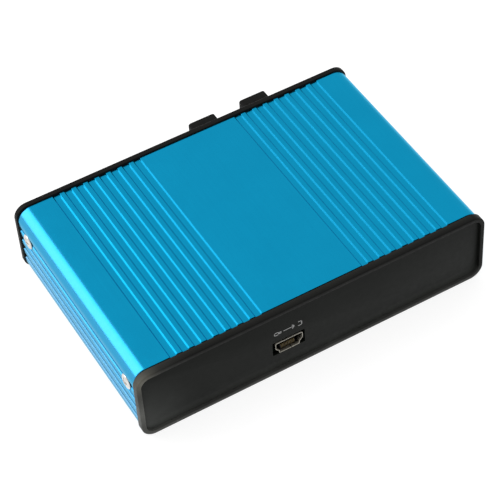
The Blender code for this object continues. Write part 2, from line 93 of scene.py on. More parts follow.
def inset(outline, distance):
    """The counterclockwise outline moved inward by a distance smaller than its outer radii."""
    moved = []
    for number, point in enumerate(outline):
        normals = []
        for other, sense in ((outline[number - 1], 1), (outline[(number + 1) % len(outline)], -1)):
            along = (point - other) * sense
            normals.append(Vector((-along.y, along.x)).normalized())
        total = normals[0] + normals[1]
        moved.append(point + total * (distance / (1 + normals[0].dot(normals[1]))))
    return moved


def mirrored(right):
    """Closed outline from the corners of its right half, bottom to top."""
    return filleted(right + [(-x, z, radius, steps) for x, z, radius, steps in reversed(right)])


def rounded_box(width, height, radius, steps):
    """Counterclockwise outline of a rectangle about the origin."""
    half, tall = width / 2, height / 2
    places = ((half, -tall), (half, tall), (-half, tall), (-half, -tall))
    return filleted([(x, z, radius, steps) for x, z in places])


def at_y(outline, y, centre=(0, 0)):
    return [(point.x + centre[0], y, point.y + centre[1]) for point in outline]


def at_z(outline, z, centre=(0, 0)):
    return [(point.x + centre[0], point.y + centre[1], z) for point in outline]


def at_x(outline, x):
    return [(x, point.x, point.y) for point in outline]


def middle(low, high):
    """Centre (x, y, z) of a box."""
    return tuple((a + b) / 2 for a, b in zip(low, high))


def eased_bar(outline, start, end, edge, shoulder, centre, support=()):
    """Rings of a bar along Y whose ends are eased by edge in two steps, the first one of shoulder.

    Rings at the support distances from either end keep smooth shading straight between them.
    """
    steps = [(edge, 0.0), (shoulder, shoulder), (0.0, edge), *((0.0, along) for along in support)]
    near = [at_y(inset(outline, inward), start + along, centre) for inward, along in steps]
    far = [at_y(inset(outline, inward), end - along, centre) for inward, along in steps]
    return near + far[::-1]


def skin(rings, wrap=False):
    """Closed surface through rings of equal length, capped at both ends or wrapped round."""
    shape = bmesh.new()
    loops = [[shape.verts.new(point) for point in ring] for ring in rings]
    pairs = list(zip(loops, loops[1:]))
    if wrap:
        pairs.append((loops[-1], loops[0]))
    else:
        shape.faces.new(loops[0])
        shape.faces.new(reversed(loops[-1]))
    for first, second in pairs:
        for here in range(len(first)):
            after = (here + 1) % len(first)
            shape.faces.new((first[here], first[after], second[after], second[here]))
    return shape


def lathe(profile, steps, axis, centre=(0, 0, 0)):
    """Closed solid of revolution from (along, radius) points. A radius of 0 is a point on the axis."""
    shape = bmesh.new()
    order = {"X": (0, 1, 2), "Y": (2, 0, 1), "Z": (1, 2, 0)}[axis]
    rings = []
    for along, radius in profile:
        ring = []
        for step in range(steps if radius > 0 else 1):
            angle = 2 * pi * step / steps
            local = (along, radius * cos(angle), radius * sin(angle))
            ring.append(shape.verts.new([local[k] + centre[i] for i, k in enumerate(order)]))
        rings.append(ring)
    for first, second in zip(rings, rings[1:]):
        for step in range(steps):
            corners = [first[step % len(first)], first[(step + 1) % len(first)]]
            corners += [second[(step + 1) % len(second)], second[step % len(second)]]
            corners = list(dict.fromkeys(corners))
            if len(corners) > 2:
                shape.faces.new(corners)
    return shape


def in_mm(start, *points):
    """Profile for lathe from (along, radius) points in millimetres, counted from start."""
    return [(start + along * MM, radius * MM) for along, radius in points]


def block(low, high, edge=0.0, segments=2):
    """Box between two corners, with all its edges rounded off."""
    shape = bmesh.new()
    bmesh.ops.create_cube(shape, size=1)
    for vert in shape.verts:
        vert.co = [a + (c + 0.5) * (b - a) for a, b, c in zip(low, high, vert.co)]
    if edge:
        bmesh.ops.bevel(
            shape, geom=shape.edges[:], offset=edge, segments=segments, profile=0.5, affect="EDGES"
        )
    return shape


def block_near(origin, low, high, edge=0.0):
    """Block between two corners in millimetres from origin."""
    near, far = ([o + step * MM for o, step in zip(origin, corner)] for corner in (low, high))
    return block(near, far, edge * MM)


def washer(section, steps, axis_x, axis_z):
    """Closed ring about an axis along Y, through (y, radius) points of its section."""
    turns = [2 * pi * step / steps for step in range(steps)]
    rings = [[(axis_x + r * cos(a), y, axis_z + r * sin(a)) for a in turns] for y, r in section]
    return skin(rings, wrap=True)


def strip(path, half_width, shaded_walls, place):
    """Bent metal strip along a path of (out, up) points. place maps (side, out, up) into space."""
    rings = []
    for here, point in enumerate(path):
        ahead = path[min(here + 1, len(path) - 1)] - path[max(here - 1, 0)]
        off = Vector((ahead.y, -ahead.x)).normalized() * (shaded_walls / 2)
        ring = []
        for side, sense in ((-1, -1), (1, -1), (1, 1), (-1, 1)):
            ring.append(place(side * half_width, point.x + sense * off.x, point.y + sense * off.y))
        rings.append(ring)
    return skin(rings)


def merged(shapes):
    """Several bmeshes as one, each still its own closed surface."""
    whole = bmesh.new()
    for shape in shapes:
        mesh = bpy.data.meshes.new("part")
        shape.to_mesh(mesh)
        shape.free()
        whole.from_mesh(mesh)
        bpy.data.meshes.remove(mesh)
    return whole


def piece(name, shape, surface, crease=35):
    """A bmesh as an object with one material, smooth except over creases."""
    mesh = bpy.data.meshes.new(name)
    bmesh.ops.recalc_face_normals(shape, faces=shape.faces)
    if shape.calc_volume(signed=True) < 0:
        bmesh.ops.reverse_faces(shape, faces=shape.faces)
    shape.to_mesh(mesh)
    shape.free()
    made = bpy.data.objects.new(name, mesh)
    bpy.context.scene.collection.objects.link(made)
    if surface:
        mesh.materials.append(surface)
    mesh.shade_smooth()
    mesh.set_sharp_from_angle(angle=radians(crease))
    return made


def baked(made, crease=35):
    """Applies the modifiers to the object's mesh."""
    bpy.context.view_layer.update()
    graph = bpy.context.evaluated_depsgraph_get()
    result = bpy.data.meshes.new_from_object(made.evaluated_get(graph))
    made.modifiers.clear()
    old = made.data
    made.data = result
    bpy.data.meshes.remove(old)
    result.name = made.name
    result.shade_smooth()
    result.set_sharp_from_angle(angle=radians(crease))
    return made


def combined(made, cutters=(), added=(), crease=35):
    """Joins solids to the piece and then cuts others out of it."""
    tools = [("UNION", extra) for extra in added] + [("DIFFERENCE", extra) for extra in cutters]
    helpers = []
    for operation, shape in tools:
        helper = piece("helper", shape, None)
        helpers.append(helper)
        modifier = made.modifiers.new("combine", "BOOLEAN")
        modifier.operation = operation
        modifier.solver = "EXACT"
        modifier.object = helper
    baked(made, crease)
    for helper in helpers:
        bpy.data.objects.remove(helper, do_unlink=True)
    return made


def eased(made, width, angle):
    """Rounds the piece's edges sharper than angle."""
    modifier = made.modifiers.new("ease", "BEVEL")
    modifier.width = width
    modifier.segments = 2
    modifier.limit_method = "ANGLE"
    modifier.angle_limit = radians(angle)
    modifier.harden_normals = False
    return baked(made)


def placed(made, slot, *nodes, body=BOX):
    """The piece rides on its body and stands for the nodes. The slot is not used."""
    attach(made, body)
    if nodes:
        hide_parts(*nodes)
    return made


# ------------------------------------------------------------
# Materials
# ------------------------------------------------------------


class Surface:
    """A Principled material with small helpers for its procedural detail."""

    def __init__(self, name, **sockets):
        self.material = bpy.data.materials.new(name)
        self.material.use_nodes = True
        self.nodes = self.material.node_tree.nodes
        self.links = self.material.node_tree.links
        self.shader = self.nodes["Principled BSDF"]
        for socket, value in sockets.items():
            self.shader.inputs[socket.replace("_", " ")].default_value = value
        self.place = self.nodes.new("ShaderNodeTexCoord").outputs["Object"]
        self.bump = None

    def noise(self, size, detail=2.0, stretch=(1, 1, 1)):
        """Noise whose features are about size metres across, longer where stretch is below 1."""
        mapping = self.nodes.new("ShaderNodeMapping")
        mapping.inputs["Scale"].default_value = stretch
        self.links.new(self.place, mapping.inputs["Vector"])
        made = self.nodes.new("ShaderNodeTexNoise")
        made.inputs["Scale"].default_value = 1 / size
        made.inputs["Detail"].default_value = detail
        made.inputs["Roughness"].default_value = 0.5
        self.links.new(mapping.outputs["Vector"], made.inputs["Vector"])
        return made.outputs["Fac"]

    def spread(self, value, low, high, start=0.3, end=0.7):
        """Value from start to end mapped onto low to high."""
        made = self.nodes.new("ShaderNodeMapRange")
        ends = {"From Min": start, "From Max": end, "To Min": low, "To Max": high}
        for socket, number in ends.items():
            made.inputs[socket].default_value = number
        self.links.new(value, made.inputs["Value"])
        return made.outputs["Result"]

    def maths(self, operation, first, second):
        made = self.nodes.new("ShaderNodeMath")
        made.operation = operation
        for socket, value in zip(made.inputs, (first, second)):
            if isinstance(value, (int, float)):
                socket.default_value = value
            else:
                self.links.new(value, socket)
        return made.outputs["Value"]

    def blend(self, amount, first, second):
        """Colour between two colours or colour outputs."""
        made = self.nodes.new("ShaderNodeMix")
        made.data_type = "RGBA"
        self.links.new(amount, made.inputs["Factor"])
        colour_a, colour_b, colour_out = made.inputs[6], made.inputs[7], made.outputs[2]
        for socket, value in ((colour_a, first), (colour_b, second)):
            if isinstance(value, tuple):
                socket.default_value = (*value, 1.0)
            else:
                self.links.new(value, socket)
        return colour_out

    def clouds(self, size, detail, first, second):
        """Colour that drifts between two over clouds of about size metres."""
        return self.blend(self.spread(self.noise(size, detail), 0, 1), first, second)

    def component(self, vector, axis):
        made = self.nodes.new("ShaderNodeSeparateXYZ")
        self.links.new(vector, made.inputs["Vector"])
        return made.outputs[axis]

    def edges(self, start, end):
        """About 0 on flat places and hollows, 1 on convex edges."""
        pointiness = self.nodes.new("ShaderNodeNewGeometry").outputs["Pointiness"]
        return self.spread(pointiness, 0.0, 1.0, start, end)

    def leaning(self, start, full, left, right):
        """How far the surface leans toward -X, from start to full of its normal's x.

        It fades in from nothing at left to all of it at right.
        """
        normal = self.nodes.new("ShaderNodeNewGeometry").outputs["Normal"]
        tilt = self.spread(self.component(normal, "X"), 1.0, 0.0, full, start)
        return self.maths("MULTIPLY", tilt, self.band(left, right))

    def band(self, start, full, axis="X"):
        """0 up to start along an axis, 1 from full on; full may lie on either side of start."""
        ends = (0.0, 1.0, start, full) if full > start else (1.0, 0.0, full, start)
        return self.spread(self.component(self.place, axis), *ends)

    def uneven(self, amount):
        return self.maths("MULTIPLY", amount, self.spread(self.noise(5 * MM), 0.75, 1.0))

    def low_painted_light(self, top):
        """1 on the ground, 0 over top, a little uneven: a mask for painted light near the ground."""
        return self.uneven(self.spread(self.component(self.place, "Z"), 1.0, 0.0, 0.0, top))

    def painted_light_near(self, corner, reach):
        """1 at a corner of the object's front, 0 beyond reach from it, a little uneven: a mask for
        painted light round that corner.
        """
        apart = self.nodes.new("ShaderNodeVectorMath")
        apart.operation = "DISTANCE"
        self.links.new(self.place, apart.inputs[0])
        apart.inputs[1].default_value = corner
        near = self.spread(apart.outputs["Value"], 1.0, 0.0, 0.0, reach)
        return self.uneven(self.maths("POWER", near, 1.6))

    def colour(self, value):
        self.links.new(value, self.shader.inputs["Base Color"])

    def rough(self, size, detail, low, high):
        """Roughness that drifts from low to high over clouds of about size metres."""
        value = self.spread(self.noise(size, detail), low, high)
        self.links.new(value, self.shader.inputs["Roughness"])

    def raised(self, height, depth):
        """Adds a layer of relief, depth metres high from black to white."""
        bump = self.nodes.new("ShaderNodeBump")
        bump.inputs["Strength"].default_value = 1.0
        bump.inputs["Distance"].default_value = depth
        self.links.new(height, bump.inputs["Height"])
        if self.bump:
            self.links.new(self.bump, bump.inputs["Normal"])
        self.bump = bump.outputs["Normal"]
        self.links.new(self.bump, self.shader.inputs["Normal"])


def anodised():
    """Blue dyed, bead-blasted aluminium with a fine grain and faint lines along the extrusion.

    Its edges are a little paler, partly from wear and partly as a painted highlight. Groove walls
    facing left get painted shade that grows toward the right, the left corner and side get a painted
    highlight, and the foot of the left side gets a whitish painted reflection of the floor.
    """
    made = Surface(
        "blue_anodised_aluminium", Metallic=1.0, IOR=1.5, Coat_Weight=0.08, Coat_Roughness=0.25
    )
    made.shader.inputs["Specular Tint"].default_value = (0.55, 0.88, 0.96, 1)
    drawn = made.noise(0.5 * MM, 2.0, (1, 0.02, 1))
    base = made.clouds(9 * MM, 2.0, (0.0010, 0.290, 0.520), (0.0014, 0.303, 0.540))
    lined = made.blend(made.spread(drawn, 0, 0.35), base, (0.0008, 0.275, 0.500))
    # Paler convex edges: partly wear, partly a painted highlight along the groove edges.
    worn = made.maths("MULTIPLY", made.edges(0.53, 0.62), 0.12)
    edged = made.blend(worn, lined, (0.06, 0.44, 0.70))
    # Painted shade: walls leaning toward -X darken toward the right, where they catch less of the key
    # light.
    shaded_walls = made.blend(made.leaning(-0.35, -0.60, -66 * MM, 4 * MM), edged, (0.0008, 0.130, 0.240))
    # Painted highlight: the left corner and side take a paler, whiter blue.
    left = made.band(-45.8 * MM, -47.4 * MM)
    painted_light_left = made.blend(left, shaded_walls, (0.036, 0.305, 0.540))
    # Painted reflection of the floor: the foot of the left side turns whitish.
    foot = made.maths("MULTIPLY", left, made.low_painted_light(16 * MM))
    made.colour(made.blend(foot, painted_light_left, (0.200, 0.340, 0.500)))
    made.rough(1.2 * MM, 3.0, 0.21, 0.26)
    made.raised(made.noise(0.16 * MM, 2.0), 0.004 * MM)
    made.raised(drawn, 0.003 * MM)
    return made.material


def moulded():
    """Black moulded plastic with a fine sparked texture and paler worn edges. A painted reflection of
    the floor lightens its foot and left end, and a painted highlight lightens its upper left corner.
    """
    made = Surface("black_moulded_plastic", Specular_IOR_Level=0.08)
    base = made.clouds(6 * MM, 3.0, (0.0036, 0.0039, 0.0035), (0.0056, 0.0058, 0.0052))
    worn = made.maths("MULTIPLY", made.edges(0.53, 0.63), 0.22)
    edged = made.blend(worn, base, (0.050, 0.048, 0.040))
    # Painted reflection of the floor: the lowest 4 mm turn paler.
    low_painted_reflection = made.blend(made.low_painted_light(4 * MM), edged, (0.054, 0.055, 0.052))
    # Painted reflection of the lit floor: paler toward the left end of the front.
    painted_light_left = made.blend(made.painted_light_near(LEFT_END, 21 * MM), low_painted_reflection, (0.088, 0.090, 0.083))
    # Painted highlight on the upper left corner of the front rim.
    made.colour(made.blend(made.painted_light_near(UPPER_LEFT, 6 * MM), painted_light_left, (0.130, 0.126, 0.104)))
    made.rough(0.8 * MM, 3.0, 0.40, 0.52)
    made.raised(made.noise(0.22 * MM, 3.0), 0.015 * MM)
    return made.material


def plate_film():
    """Black satin plate, smoother than the moulding round it, with a painted reflection of the floor
    along its foot and toward its lower left corner.
    """
    made = Surface("black_panel_plate", Specular_IOR_Level=0.09)
    base = made.clouds(12 * MM, 2.0, (0.0038, 0.0046, 0.0038), (0.0050, 0.0059, 0.0050))
    # Painted reflection of the floor: the lowest 4.2 mm of the plate turn paler.
    low = made.blend(made.low_painted_light(4.2 * MM), base, (0.040, 0.042, 0.039))
    # Painted reflection: paler toward the lower left corner of the front plate.
    made.colour(made.blend(made.painted_light_near(LOWER_LEFT, 18 * MM), low, (0.050, 0.053, 0.050)))
    made.rough(1.5 * MM, 3.0, 0.42, 0.50)
    made.raised(made.noise(0.12 * MM, 2.0), 0.006 * MM)
    return made.material


def ink():
    made = Surface("pale_print", Roughness=0.6, Specular_IOR_Level=0.3)
    speckle = made.noise(0.12 * MM, 3.0)
    made.colour(made.blend(made.spread(speckle, 0, 1), (0.20, 0.20, 0.20), (0.34, 0.34, 0.34)))
    made.raised(speckle, 0.004 * MM)
    return made.material


def plated(name, dark, light, low, high, scratch=0.15 * MM, painted_shade_depths=None):
    """Plated metal with cloudy colour and fine scratches. Given two depths along Y, painted shade sets
    in between them and stays beyond.
    """
    made = Surface(name, Metallic=1.0)
    colour = made.clouds(0.9 * MM, 3.0, dark, light)
    if painted_shade_depths:
        colour = made.blend(made.band(*painted_shade_depths, axis="Y"), colour, (0.050, 0.044, 0.034))
    made.colour(colour)
    made.rough(0.5 * MM, 4.0, low, high)
    made.raised(made.noise(scratch, 3.0, (1, 0.15, 1)), 0.006 * MM)
    return made.material


def plain(name, tint, gloss, relief, **sockets):
    """Drifting colour, uneven gloss and fine relief, each led by its noise's size and detail."""
    made = Surface(name, **sockets)
    made.colour(made.clouds(*tint))
    made.rough(*gloss)
    size, detail, depth = relief
    made.raised(made.noise(size, detail), depth)
    return made.material


def laminate():
    """Green solder mask over copper lines that run in both directions, darkened near its front edge by
    painted shade.
    """
    made = Surface("green_board_laminate", Specular_IOR_Level=0.5)
    along_y = made.spread(made.noise(1.0 * MM, 0.0, (1, 0.04, 1)), 0, 1, 0.55, 0.58)
    along_x = made.spread(made.noise(1.0 * MM, 0.0, (0.04, 1, 1)), 0, 1, 0.55, 0.58)
    region = made.spread(made.noise(13 * MM, 0.0), 0, 1, 0.49, 0.51)
    across = made.maths("MULTIPLY", region, along_x)
    down = made.maths("MULTIPLY", made.maths("SUBTRACT", 1.0, region), along_y)
    tracks = made.maths("ADD", across, down)
    mask = made.clouds(5 * MM, 2.0, (0.003, 0.050, 0.018), (0.005, 0.070, 0.024))
    green = made.blend(tracks, mask, (0.010, 0.120, 0.042))
    # Painted shade: the board darkens near its front edge.
    edge = made.band(BOARD_EDGE + 2.5 * MM, BOARD_EDGE + 0.8 * MM, "Y")
    made.colour(made.blend(edge, green, (0.003, 0.006, 0.004)))
    made.rough(1 * MM, 2.0, 0.30, 0.42)
    made.raised(tracks, 0.03 * MM)
    return made.material


def package(name):
    """Black epoxy or plastic with a matt, slightly speckled face."""
    made = Surface(name, Specular_IOR_Level=0.35)
    made.colour(made.blend(made.noise(0.3 * MM, 4.0), (0.010, 0.010, 0.011), (0.026, 0.026, 0.027)))
    made.rough(0.4 * MM, 3.0, 0.50, 0.66)
    made.raised(made.noise(0.10 * MM, 3.0), 0.012 * MM)
    return made.material


BLUE = anodised()
BLACK = moulded()
FILM = plate_film()
INK = ink()
SCREW = plated("nickel_plated_screw", (0.60, 0.58, 0.54), (0.78, 0.77, 0.74), 0.20, 0.34)
TIN = plated("tin_plated_sheet", (0.30, 0.29, 0.25), (0.42, 0.40, 0.35), 0.26, 0.40)
# The shell darkens inside its mouth with painted shade.
SHELL = plated(
    "tin_plated_shell", (0.30, 0.29, 0.25), (0.42, 0.40, 0.35), 0.26, 0.40,
    painted_shade_depths=(USB_MOUTH + 0.3 * MM, USB_MOUTH + 1.3 * MM),
)
# Gold darkened with painted shade, for the shade inside the socket.
SHADED_GOLD = plated("gold_plated_contact", (0.060, 0.046, 0.022), (0.105, 0.080, 0.038), 0.26, 0.40)
SOCKET = package("black_socket_moulding")
RUBBER = plain(
    "black_rubber",
    tint=(2 * MM, 3.0, (0.0035, 0.0035, 0.0032), (0.0055, 0.0053, 0.0048)),
    gloss=(0.6 * MM, 3.0, 0.62, 0.78),
    relief=(0.15 * MM, 3.0, 0.012 * MM),
    Specular_IOR_Level=0.10,
)
BOARD = laminate()
PACKAGE = package("black_chip_package")
CAN = plated("drawn_steel_can", (0.50, 0.50, 0.49), (0.58, 0.58, 0.57), 0.26, 0.34, 0.5 * MM)
WIRE = plated("enamelled_copper_wire", (0.42, 0.16, 0.07), (0.55, 0.23, 0.10), 0.28, 0.40)
SLEEVE = plain(
    "dark_capacitor_sleeve",
    tint=(2 * MM, 2.0, (0.014, 0.014, 0.026), (0.022, 0.021, 0.036)),
    gloss=(0.7 * MM, 3.0, 0.26, 0.36),
    relief=(0.8 * MM, 2.0, 0.010 * MM),
    Specular_IOR_Level=0.5,
)
EPOXY = plain(
    "clear_epoxy",
    tint=(1.5 * MM, 2.0, (0.30, 0.05, 0.045), (0.40, 0.08, 0.07)),
    gloss=(0.6 * MM, 3.0, 0.10, 0.20),
    relief=(0.5 * MM, 2.0, 0.004 * MM),
    Transmission_Weight=0.6,
    IOR=1.52,
)

# ------------------------------------------------------------
# Places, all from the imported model
# ------------------------------------------------------------

front_low, front_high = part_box("front_end_frame")
rear_low, rear_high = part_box("rear_end_frame")
tube_low, tube_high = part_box("housing_tube")
FRONT, REAR = front_low.y, rear_high.y
WIDTH = front_high.x - front_low.x
HEIGHT = front_high.z - front_low.z
MIDDLE_X = (front_low.x + front_high.x) / 2
MIDDLE_Z = (front_low.z + front_high.z) / 2

# Profile of the extrusion
RIM_RADIUS = 3.75 * MM
RIM_THICKNESS = {"front": 2.10 * MM, "rear": 1.5 * MM}
RECESS = {"front": 0.75 * MM, "rear": 0.30 * MM}
TUBE_SET_IN = 0.37 * MM  # tube's outside, in from the rims'
TUBE_WALL = 1.6 * MM
INNER_HALF = WIDTH / 2 - TUBE_SET_IN - TUBE_WALL
INNER_TALL = HEIGHT / 2 - TUBE_SET_IN - TUBE_WALL
GROOVE_PITCH = 3.37 * MM
GROOVE_MOUTH = 2.15 * MM
GROOVE_FLOOR = 1.55 * MM
GROOVE_DEPTH = 0.30 * MM
GROOVE_EDGE = 0.07 * MM
GROOVE_ROOT = 0.06 * MM
GROUP_OFFSET = 27.06 * MM
PATTERN_SHIFT = 0.52 * MM
SIDE_DROP = 0.1 * MM
TUBE_RADIUS = 3.8 * MM
REAR_SEAM = 0.06 * MM


def groove(centre, outward, along):
    """Four filleted corners of one groove, in the order that a counterclockwise outline meets them."""
    half_mouth, half_floor = GROOVE_MOUTH / 2, GROOVE_FLOOR / 2
    corners = []
    for distance, depth, radius, steps in (
        (-half_mouth, 0, GROOVE_EDGE, 4),
        (-half_floor, GROOVE_DEPTH, GROOVE_ROOT, 3),
        (half_floor, GROOVE_DEPTH, GROOVE_ROOT, 3),
        (half_mouth, 0, GROOVE_EDGE, 4),
    ):
        point = Vector(centre) - Vector(outward) * depth + Vector(along) * distance
        corners.append((point.x, point.y, radius, steps))
    return corners


def spaced(count, pitch, centre=0.0):
    """Evenly spaced places about a centre."""
    return [centre + (k - (count - 1) / 2) * pitch for k in range(count)]


def tube_outline():
    """Outside of the tube: two groups of 8 grooves above and below, and 4 on either side."""
    half = (tube_high.x - tube_low.x) / 2
    tall = (tube_high.z - tube_low.z) / 2
    wide = []
    for hand in (-1, 1):
        wide += spaced(8, GROOVE_PITCH, PATTERN_SHIFT + hand * GROUP_OFFSET)
    side = spaced(4, GROOVE_PITCH, -SIDE_DROP)
    corners = []
    for centres, outward, along, corner in (
        ([(half, z) for z in side], (1, 0), (0, 1), (half, tall)),
        ([(x, tall) for x in reversed(wide)], (0, 1), (-1, 0), (-half, tall)),
        ([(-half, z) for z in reversed(side)], (-1, 0), (0, -1), (-half, -tall)),
        ([(x, -tall) for x in wide], (0, -1), (1, 0), (half, -tall)),
    ):
        for centre in centres:
            corners += groove(centre, outward, along)
        corners.append((*corner, TUBE_RADIUS, 16))
    return filleted(corners)


def cavity_outline():
    """Inside of the tube, with a pair of ribs on each side for the board's edge."""
    board_low, board_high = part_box("circuit_board")
    gap = 0.3 * MM
    rib, reach = 1.1 * MM, 1.8 * MM
    levels = (board_low.z - gap - rib - MIDDLE_Z, board_high.z + gap - MIDDLE_Z)
    inner = INNER_HALF - reach
    right = [(INNER_HALF, -INNER_TALL, 1.2 * MM, 4)]
    for low in levels:
        high = low + rib
        for across, up in ((INNER_HALF, low), (inner, low), (inner, high), (INNER_HALF, high)):
            right.append((across, up, 0.15 * MM, 2))
    right.append((INNER_HALF, INNER_TALL, 1.2 * MM, 4))
    return mirrored(right)


SCREW_NODES = [f"side_screw_{end}_{side}" for end in ("front", "rear") for side in ("left", "right")]
SCREW_HEAD = 2.12 * MM


def build_tube():
    """Grooved and hollow, with countersinks round the side screws."""
    outline = tube_outline()
    centre = (MIDDLE_X, MIDDLE_Z)
    end = REAR - RIM_THICKNESS["rear"] - REAR_SEAM
    rings = eased_bar(outline, tube_low.y, end, 0.06 * MM, 0.02 * MM, centre, support=(0.4 * MM,))
    tube = piece("grooved_tube", skin(rings), BLUE)
    hollow = cavity_outline()
    cutters = [skin([at_y(hollow, FRONT, centre), at_y(hollow, REAR, centre)])]
    for node in SCREW_NODES:
        low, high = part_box(node)
        hand = 1 if low.x > 0 else -1
        face = tube_high.x if hand > 0 else -tube_low.x
        profile = [
            (face - 3.2 * MM, 0),
            (face - 3.2 * MM, 1.15 * MM),
            (face - 1.35 * MM, 1.15 * MM),
            (face - 0.02 * MM, SCREW_HEAD + 0.30 * MM),
            (face + 1.6 * MM, SCREW_HEAD + 0.30 * MM),
            (face + 1.6 * MM, 0),
        ]
        profile = [(hand * along, radius) for along, radius in profile]
        _, y, z = middle(low, high)
        cutters.append(lathe(profile, 40, "X", (0, y - 0.35 * MM, z)))
    combined(tube, cutters, crease=30)
    placed(tube, "blue_anodised", "housing_tube")


def build_frame(name, node, front):
    """A rim round one end: rounded outside, a lip, a pocket for the plate, and lugs and ribs inward."""
    face, inward = (FRONT, 1) if front else (REAR, -1)
    end = "front" if front else "rear"
    thickness = RIM_THICKNESS[end]
    centre = (MIDDLE_X, MIDDLE_Z)
    lip, window = 1.2 * MM, 3.6 * MM
    pocket = RECESS[end] + 0.95 * MM
    section = filleted(
        [
            (0, 0, 0.28 * MM, 6),
            (0, thickness, 0.12 * MM, 3),
            (window, thickness, 0.08 * MM, 2),
            (window, pocket, 0.08 * MM, 2),
            (lip, pocket, 0.08 * MM, 2),
            (lip, 0, 0.05 * MM, 2),
        ]
    )
    rings = []
    for distance, depth in section:
        radius = max(RIM_RADIUS - distance, 0.9 * MM)
        outline = rounded_box(WIDTH - 2 * distance, HEIGHT - 2 * distance, radius, 14)
        rings.append(at_y(outline, face + inward * depth, centre))
    frame_piece = piece(name, skin(rings, wrap=True), BLACK)
    added = []
    lug_outer = INNER_HALF - 0.3 * MM
    rib_reach = INNER_TALL - 0.3 * MM
    level = middle(*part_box("side_screw_front_left"))[2]
    for hand in (-1, 1):
        across = sorted((hand * lug_outer, hand * (lug_outer - 4 * MM)))
        depth = sorted((face + inward * (pocket + 0.1 * MM), face + inward * 9.5 * MM))
        low, high = zip(across, depth, (level - 3 * MM, level + 3 * MM))
        added.append(block(low, high, 0.25 * MM))
        rise = sorted((hand * rib_reach, hand * (rib_reach - 1.1 * MM)))
        depth = sorted((face + inward * (thickness - 0.15 * MM), face + inward * 6 * MM))
        low, high = zip((-30 * MM, 30 * MM), depth, [MIDDLE_Z + step for step in rise])
        added.append(block(low, high, 0.2 * MM))
    screw_node = "side_screw_front_left" if front else "side_screw_rear_left"
    screw_y = middle(*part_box(screw_node))[1]
    bore = [(-WIDTH, 0), (-WIDTH, 1.1 * MM), (WIDTH, 1.1 * MM), (WIDTH, 0)]
    hole = lathe(bore, 24, "X", (0, screw_y, level))
    combined(frame_piece, [hole], added)
    placed(frame_piece, "moulded_frame", node)


def build_plate(name, node, front):
    """Plate with eased edges, with its holes cut where the sockets stand."""
    low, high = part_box(node)
    grown = 0.54 * MM
    outline = rounded_box(high.x - low.x + grown, high.z - low.z + grown, RIM_RADIUS - 1.23 * MM, 12)
    x, _, z = middle(low, high)
    rings = eased_bar(outline, low.y, high.y, 0.05 * MM, 0.015 * MM, (x, z))
    plate = piece(name, skin(rings), FILM)
    near, far = low.y - MM, high.y + MM
    cutters = []

    def cut(hole, around):
        x, _, z = middle(*around)
        cutters.append(skin([at_y(hole, near, (x, z)), at_y(hole, far, (x, z))]))

    if front:
        cut(rounded_box(9.3 * MM, 4.7 * MM, 0.35 * MM, 4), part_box("usb_socket_shell"))
    else:
        for number in range(1, 7):
            x, _, z = middle(*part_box(f"audio_jack_ring_{number}"))
            profile = [(near, 0), (near, 3.6 * MM), (far, 3.6 * MM), (far, 0)]
            cutters.append(lathe(profile, 40, "Y", (x, 0, z)))
        for socket in ("optical_input_socket", "optical_output_socket"):
            a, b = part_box(socket)
            cut(rounded_box(b.x - a.x + 0.5 * MM, b.z - a.z + 0.5 * MM, 0.4 * MM, 4), (a, b))
    combined(plate, cutters)
    placed(plate, "panel_plate", node)


def build_print():
    """Generic inlet mark printed over the socket: a plug, a line and an arrow into a bracket."""
    plate_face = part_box("front_panel_plate")[0].y
    shell_low, shell_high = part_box("usb_socket_shell")
    at = ((shell_low.x + shell_high.x) / 2, shell_high.z + 3.3 * MM)
    line = 0.24 * MM
    bars = []

    def bar(x0, z0, x1, z1):
        start, end = Vector((x0, z0)) * MM, Vector((x1, z1)) * MM
        along = (end - start).normalized() * (line / 2)
        beside = Vector((-along.y, along.x))
        first, last = start - along, end + along
        corners = (first - beside, last - beside, last + beside, first + beside)
        outline = filleted([(p.x, p.y, 0.09 * MM, 3) for p in corners])
        levels = (plate_face - 0.012 * MM, plate_face + 0.02 * MM)
        bars.append(skin([at_y(outline, y, at) for y in levels]))

    for path in (
        [(-3.9, 0.45), (-3.9, -0.45), (-2.7, -0.45), (-2.7, 0.45), (-3.9, 0.45)],
        [(-2.45, 0.22), (-2.0, 0.22)],
        [(-2.45, -0.22), (-2.0, -0.22)],
        [(-1.2, 0.0), (1.9, 0.0)],
        [(1.2, 0.6), (1.9, 0.0), (1.2, -0.6)],
        [(3.0, 0.7), (3.9, 0.7), (3.9, -0.7), (3.0, -0.7)],
    ):
        for start, end in zip(path, path[1:]):
            bar(*start, *end)
    placed(piece("inlet_mark", merged(bars), INK), "panel_plate")


